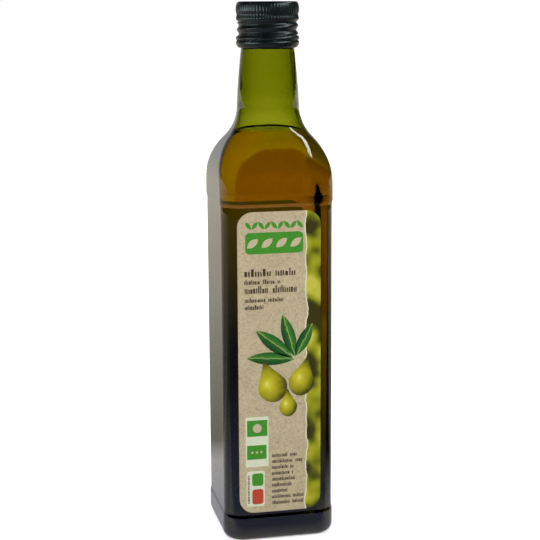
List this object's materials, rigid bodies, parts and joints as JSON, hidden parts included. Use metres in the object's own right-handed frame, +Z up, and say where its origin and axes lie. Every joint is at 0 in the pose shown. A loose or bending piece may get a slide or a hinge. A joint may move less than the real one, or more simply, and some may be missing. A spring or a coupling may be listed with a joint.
{
  "type": "olive oil bottle",
  "caption": "Tall square green glass bottle of olive oil with rounded corners, sloping shoulders, a round neck, a dark aluminium screw cap and paper labels.",
  "frame": {"origin": "middle of the base, on the surface that the bottle stands on", "axes": "+Z up along the bottle's axis, -Y out of the front label, +X to the right of one who faces that label"},
  "size_m": [0.0574, 0.0574, 0.2714],
  "materials": {
    "green_glass": "clear green glass, polished",
    "olive_oil": "clear golden green oil",
    "cap_aluminium": "black lacquered aluminium, satin",
    "label_paper": "printed uncoated paper, fibrous matte"
  },
  "bodies": {
    "root": {"glass_bottle": "green_glass", "oil": "olive_oil", "screw_cap": "cap_aluminium", "front_label": "label_paper", "back_label": "label_paper"}
  },
  "joints": []
}
